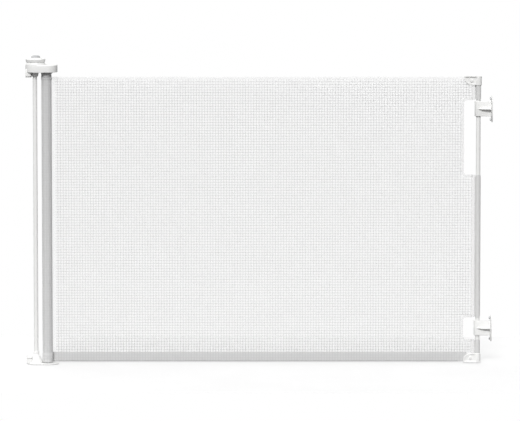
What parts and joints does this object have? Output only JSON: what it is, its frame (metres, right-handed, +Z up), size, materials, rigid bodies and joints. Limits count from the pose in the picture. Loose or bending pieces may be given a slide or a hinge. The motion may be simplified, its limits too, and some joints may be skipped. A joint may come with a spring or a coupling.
{
  "type": "retractable safety gate",
  "caption": "White retractable mesh safety gate: a roll of mesh in a wall housing with a lock dial, drawn to a bar that hooks into wall catches.",
  "frame": {"origin": "on the floor, midway between the two walls and midway between the caps' front and rear", "axes": "+X from the roller housing to the wall catches, +Y to the rear of the gate, +Z up"},
  "size_m": [1.369, 0.059, 0.9105],
  "materials": {
    "white_plastic": "moulded white plastic, semi-gloss",
    "white_paint": "white powder coat on aluminium tube",
    "mesh_fabric": "open woven polyester mesh, off white, with doubled hems",
    "button_plastic": "light grey moulded plastic",
    "steel": "zinc plated steel",
    "inner_plastic": "grey moulded nylon"
  },
  "bodies": {
    "housing": {"top_wall_bracket": "white_plastic", "top_bracket_screw_front": "steel", "top_bracket_screw_rear": "steel", "bottom_wall_bracket": "white_plastic", "bottom_bracket_screw_front": "steel", "bottom_bracket_screw_rear": "steel", "top_cap_shell": "white_plastic", "top_cap_lid": "white_plastic", "lid_screw_left": "steel", "lid_screw_right": "steel", "spindle_bushing": "inner_plastic", "support_post": "white_paint", "post_top_plug": "inner_plastic", "post_bottom_plug": "inner_plastic", "post_top_screw": "steel", "post_bottom_screw": "steel", "bottom_cap": "white_plastic", "pivot_washer": "steel", "spring_shaft": "steel", "spring_arbor": "inner_plastic", "retraction_spring": "steel", "pawl_pin": "steel", "lower_catch": "white_plastic", "lower_catch_screw_low": "steel", "lower_catch_screw_high": "steel", "upper_catch": "white_plastic", "upper_catch_screw_low": "steel", "upper_catch_screw_high": "steel"},
    "roller": {"roller_tube": "steel", "roller_top_plug": "inner_plastic", "roller_bottom_plug": "inner_plastic", "spring_anchor": "inner_plastic", "mesh_roll": "mesh_fabric", "ratchet_wheel": "inner_plastic", "ratchet_screw": "steel"},
    "curtain": {"mesh_panel": "mesh_fabric", "mesh_top_hem": "mesh_fabric", "mesh_bottom_hem": "mesh_fabric"},
    "free_end": {"mesh_end_strip": "mesh_fabric", "handle_bar": "white_paint", "bar_bottom_cap": "white_plastic", "bar_top_cap": "white_plastic", "bar_bottom_screw": "steel", "bar_top_screw": "steel"},
    "dial": {"lock_dial": "white_plastic", "dial_cam": "inner_plastic", "dial_cam_screw": "steel", "button_spring": "steel"},
    "button": {"lock_button": "button_plastic"},
    "pawl": {"pawl": "inner_plastic"}
  },
  "joints": [
    {"name": "roller_spin", "type": "hinge", "parent": "housing", "child": "roller", "pos_m": [-0.6235, 0, 0], "axis": [0, 0, 1], "range_deg": [0, 4410], "deforming": ["retraction_spring"]},
    {"name": "curtain_swing", "type": "hinge", "parent": "housing", "child": "curtain", "pos_m": [-0.6235, 0, 0], "axis": [0, 0, 1], "range_deg": [0, 2.5]},
    {"name": "curtain_retract", "type": "slide", "parent": "curtain", "child": "free_end", "axis": [1, 0, 0], "range_m": [-1.193, 0], "deforming": ["mesh_panel", "mesh_top_hem", "mesh_bottom_hem"]},
    {"name": "dial_turn", "type": "hinge", "parent": "housing", "child": "dial", "pos_m": [-0.655, 0, 0], "axis": [0, 0, 1], "range_deg": [-60, 0]},
    {"name": "button_press", "type": "slide", "parent": "dial", "child": "button", "axis": [0, 0, -1], "range_m": [0, 0.003], "stiffness_N_per_m": 500, "springref_m": -0.002, "deforming": ["button_spring"]},
    {"name": "pawl_swing", "type": "hinge", "parent": "housing", "child": "pawl", "pos_m": [-0.6393, -0.0206, 0], "axis": [0, 0, 1], "range_deg": [0, 18.3]}
  ],
  "couplings": [
    {"joint": "roller_spin", "follows": "curtain_retract", "rad_per_m": -64.517},
    {"joint": "pawl_swing", "follows": "dial_turn", "ratio": -0.3036}
  ]
}
